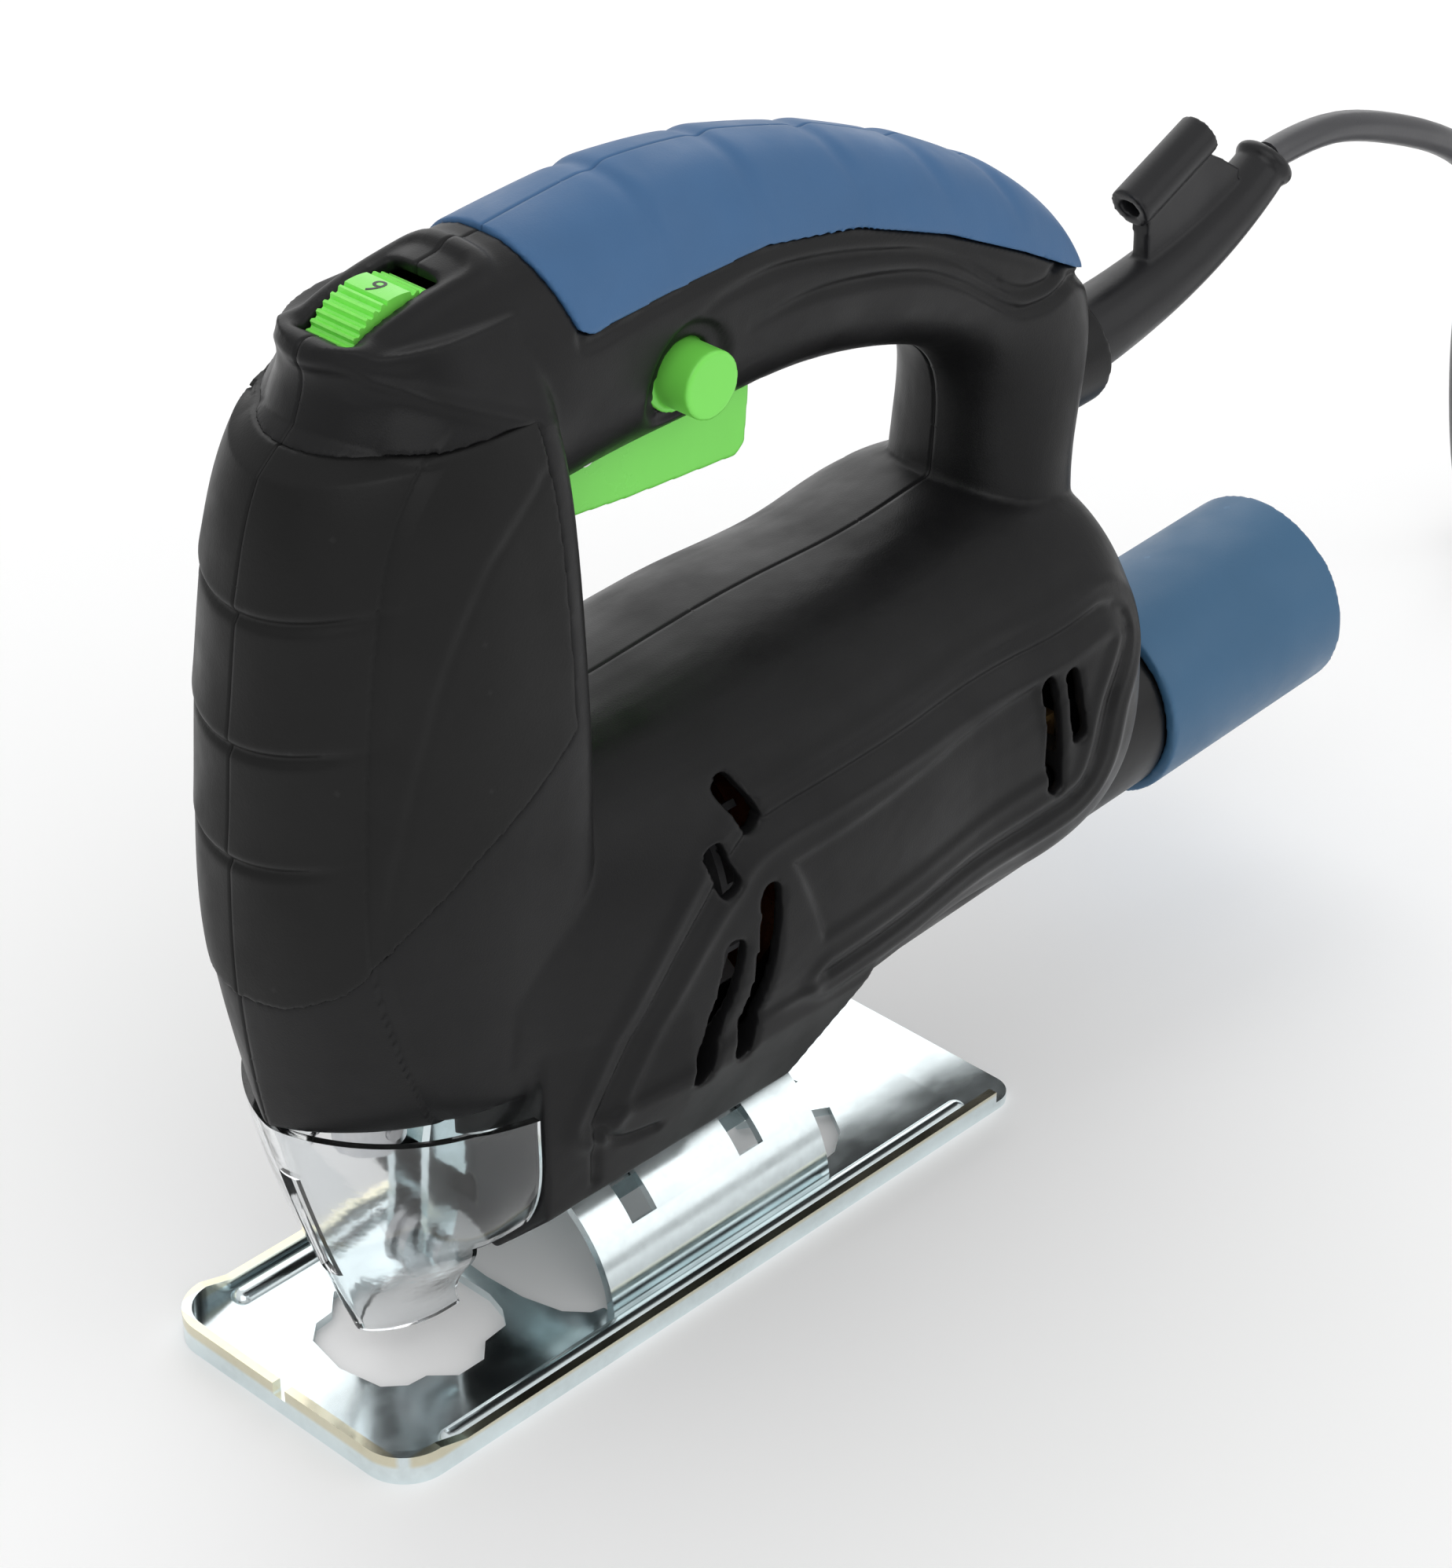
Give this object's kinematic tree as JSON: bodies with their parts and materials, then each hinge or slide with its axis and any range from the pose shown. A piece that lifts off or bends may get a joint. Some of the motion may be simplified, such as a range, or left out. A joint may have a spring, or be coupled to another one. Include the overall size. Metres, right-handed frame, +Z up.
{
  "type": "corded jigsaw power tool",
  "caption": "Corded D-handle jigsaw with a tilting pressed-steel sole, clear chip guard, speed thumbwheel, trigger with lock button and a rear dust port.",
  "frame": {"origin": "under the centre of the tool without its cord, in the plane the sole stands on", "axes": "+Z up; +X to the rear (dust port and cord), so -X is the cutting direction; -Y is the operator's left, the side with the lock button"},
  "size_m": [0.5047, 0.1012, 0.2083],
  "materials": {
    "housing": "satin",
    "soft_pad": "matte",
    "blue_grip": "satin",
    "blue_plastic": "satin",
    "green_plastic": "satin",
    "clear_plastic": "gloss",
    "zinc_steel": "satin",
    "steel": "satin",
    "bright_steel": "polished",
    "lamination": "satin",
    "copper": "satin",
    "bronze": "matte",
    "aluminium": "satin",
    "graphite": "matte",
    "black_rubber": "satin",
    "inner_plastic": "satin",
    "board": "satin",
    "yellow_plastic": "gloss",
    "white_plastic": "satin"
  },
  "bodies": {
    "housing": {"left_housing": "housing", "right_housing": "housing", "left_nose_pad": "soft_pad", "right_nose_pad": "soft_pad", "left_grip": "blue_grip", "right_grip": "blue_grip", "housing_screws": "steel", "stator_core": "lamination", "field_coils": "copper", "front_bearing": "bright_steel", "rear_bearing": "bright_steel", "brush_holders": "bronze", "carbon_brushes": "graphite", "gear_bush": "bronze", "bearing_plate": "aluminium", "upper_bush": "bronze", "lower_bush": "bronze", "roller_bracket": "zinc_steel", "roller_axle": "steel", "clamp_plate": "zinc_steel", "clamp_screws": "steel", "speed_board": "board", "trigger_pin": "steel", "trigger_spring": "steel", "switch_module": "inner_plastic", "lock_spring": "steel", "capacitor": "yellow_plastic", "cord_clamp": "white_plastic", "dust_collar": "inner_plastic", "cord_boot": "black_rubber", "power_cord": "black_rubber", "cord_coil": "black_rubber", "cord_tie": "inner_plastic", "cord_tail": "black_rubber", "plug_body": "black_rubber", "plug_pins": "bright_steel"},
    "base": {"sole_plate": "zinc_steel"},
    "guard": {"chip_guard": "clear_plastic"},
    "dial": {"speed_dial": "green_plastic"},
    "switch_trigger": {"trigger": "green_plastic"},
    "button": {"lock_button": "green_plastic"},
    "tube": {"dust_tube": "blue_plastic"},
    "armature": {"armature_core": "lamination", "armature_windings": "copper", "commutator": "copper", "motor_shaft": "steel", "fan": "inner_plastic", "pinion": "steel"},
    "crank": {"drive_gear": "steel", "gear_shaft": "steel", "counterweight": "steel", "crank_pin": "steel"},
    "plunger": {"plunger_rod": "bright_steel", "scotch_yoke": "steel", "blade_clamp": "steel", "clamp_set_screws": "steel"},
    "roller": {"guide_roller": "steel"}
  },
  "joints": [
    {"name": "bevel", "type": "hinge", "parent": "housing", "child": "base", "pos_m": [-0.05495, 0, 0], "axis": [1, 0, 0], "range_deg": [-45, 45]},
    {"name": "guard_pull", "type": "slide", "parent": "housing", "child": "guard", "axis": [-1, 0, 0], "range_m": [0, 0.004]},
    {"name": "speed", "type": "hinge", "parent": "housing", "child": "dial", "pos_m": [-0.09725, 0, 0.1904], "axis": [0, -1, 0], "range_deg": [0, 260]},
    {"name": "trigger_pull", "type": "hinge", "parent": "housing", "child": "switch_trigger", "pos_m": [-0.06545, 0, 0.166], "axis": [0, -1, 0], "range_deg": [0, 6], "stiffness_Nm_per_rad": 1, "springref_deg": -3.44, "deforming": ["trigger_spring"]},
    {"name": "lock_press", "type": "slide", "parent": "housing", "child": "button", "axis": [0, 1, 0], "range_m": [0, 0.0035], "stiffness_N_per_m": 800, "springref_m": -0.0015, "deforming": ["lock_spring"]},
    {"name": "tube_pull", "type": "slide", "parent": "housing", "child": "tube", "axis": [0.9986, 0, 0.0523], "range_m": [0, 0.02]},
    {"name": "motor", "type": "hinge", "parent": "housing", "child": "armature", "pos_m": [-0.05495, 0, 0.076], "axis": [1, 0, 0], "continuous": true},
    {"name": "crank_turn", "type": "hinge", "parent": "housing", "child": "crank", "pos_m": [-0.09095, 0, 0.1036], "axis": [1, 0, 0], "continuous": true},
    {"name": "stroke", "type": "slide", "parent": "housing", "child": "plunger", "axis": [0, 0, 1], "range_m": [-0.02, 0]},
    {"name": "roller_turn", "type": "hinge", "parent": "housing", "child": "roller", "pos_m": [-0.09995, 0, 0.0205], "axis": [0, 1, 0], "continuous": true}
  ],
  "couplings": [
    {"joint": "crank_turn", "follows": "motor", "ratio": -0.15}
  ]
}
